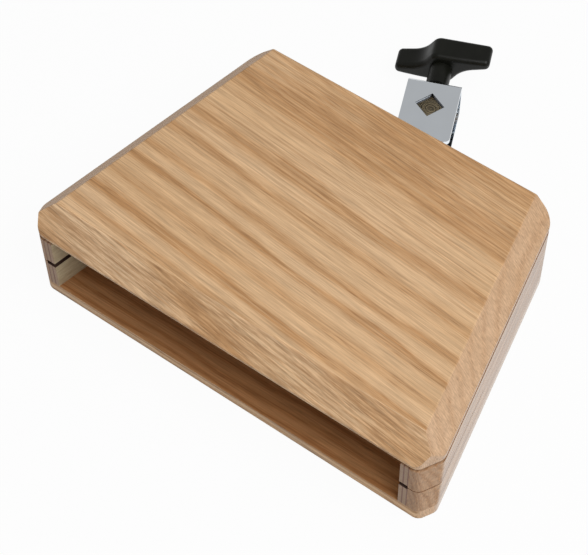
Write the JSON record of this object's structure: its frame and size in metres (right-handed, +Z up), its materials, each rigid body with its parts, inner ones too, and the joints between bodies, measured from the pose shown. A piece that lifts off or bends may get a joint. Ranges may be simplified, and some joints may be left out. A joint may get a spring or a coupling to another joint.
{
  "type": "woodblock",
  "caption": "Trapezoidal hollow hardwood tone block, open at its wide end, with a swivelling steel rod clamp and a winged screw at its narrow end.",
  "frame": {"origin": "middle of the flat underside of the block", "axes": "+X to the right as seen from the mouth, +Y from the mouth to the clamp, +Z up"},
  "size_m": [0.2245, 0.2302, 0.0585],
  "materials": {
    "ash_wood": "satin clear lacquer",
    "plywood": "bare plywood",
    "chrome": "bright plated",
    "zinc_steel": "zinc plated",
    "black_plastic": "satin moulded",
    "nylon": "natural"
  },
  "bodies": {
    "block": {"top_plate": "ash_wood", "bottom_plate": "ash_wood", "left_side_wall": "ash_wood", "right_side_wall": "ash_wood", "back_wall": "ash_wood", "left_upper_liner": "plywood", "left_lower_liner": "plywood", "right_upper_liner": "plywood", "right_lower_liner": "plywood", "mounting_bracket": "chrome", "bracket_screws": "zinc_steel", "pivot_bolt": "zinc_steel", "swivel_washer": "nylon", "pivot_washer": "zinc_steel", "pivot_nut": "zinc_steel"},
    "clamp": {"clamp_bracket": "chrome", "clamp_nut": "chrome"},
    "pad": {"pressure_pad": "chrome"},
    "wing_screw": {"clamp_screw": "zinc_steel", "wing_handle": "black_plastic"}
  },
  "joints": [
    {"name": "clamp_swivel", "type": "hinge", "parent": "block", "child": "clamp", "pos_m": [0, 0.09265, 0.00725], "axis": [0, 0, 1], "range_deg": [-92.5, 47.5]},
    {"name": "pad_slide", "type": "slide", "parent": "clamp", "child": "pad", "axis": [0.3827, -0.9239, 0], "range_m": [-0.0005, 0.0036]},
    {"name": "screw_turn", "type": "hinge", "parent": "pad", "child": "wing_screw", "pos_m": [-0.01213, 0.12194, 0.017], "axis": [0.3827, -0.9239, 0], "range_deg": [-146, 1038]}
  ],
  "couplings": [
    {"joint": "screw_turn", "follows": "pad_slide", "rad_per_m": 5026.5}
  ]
}
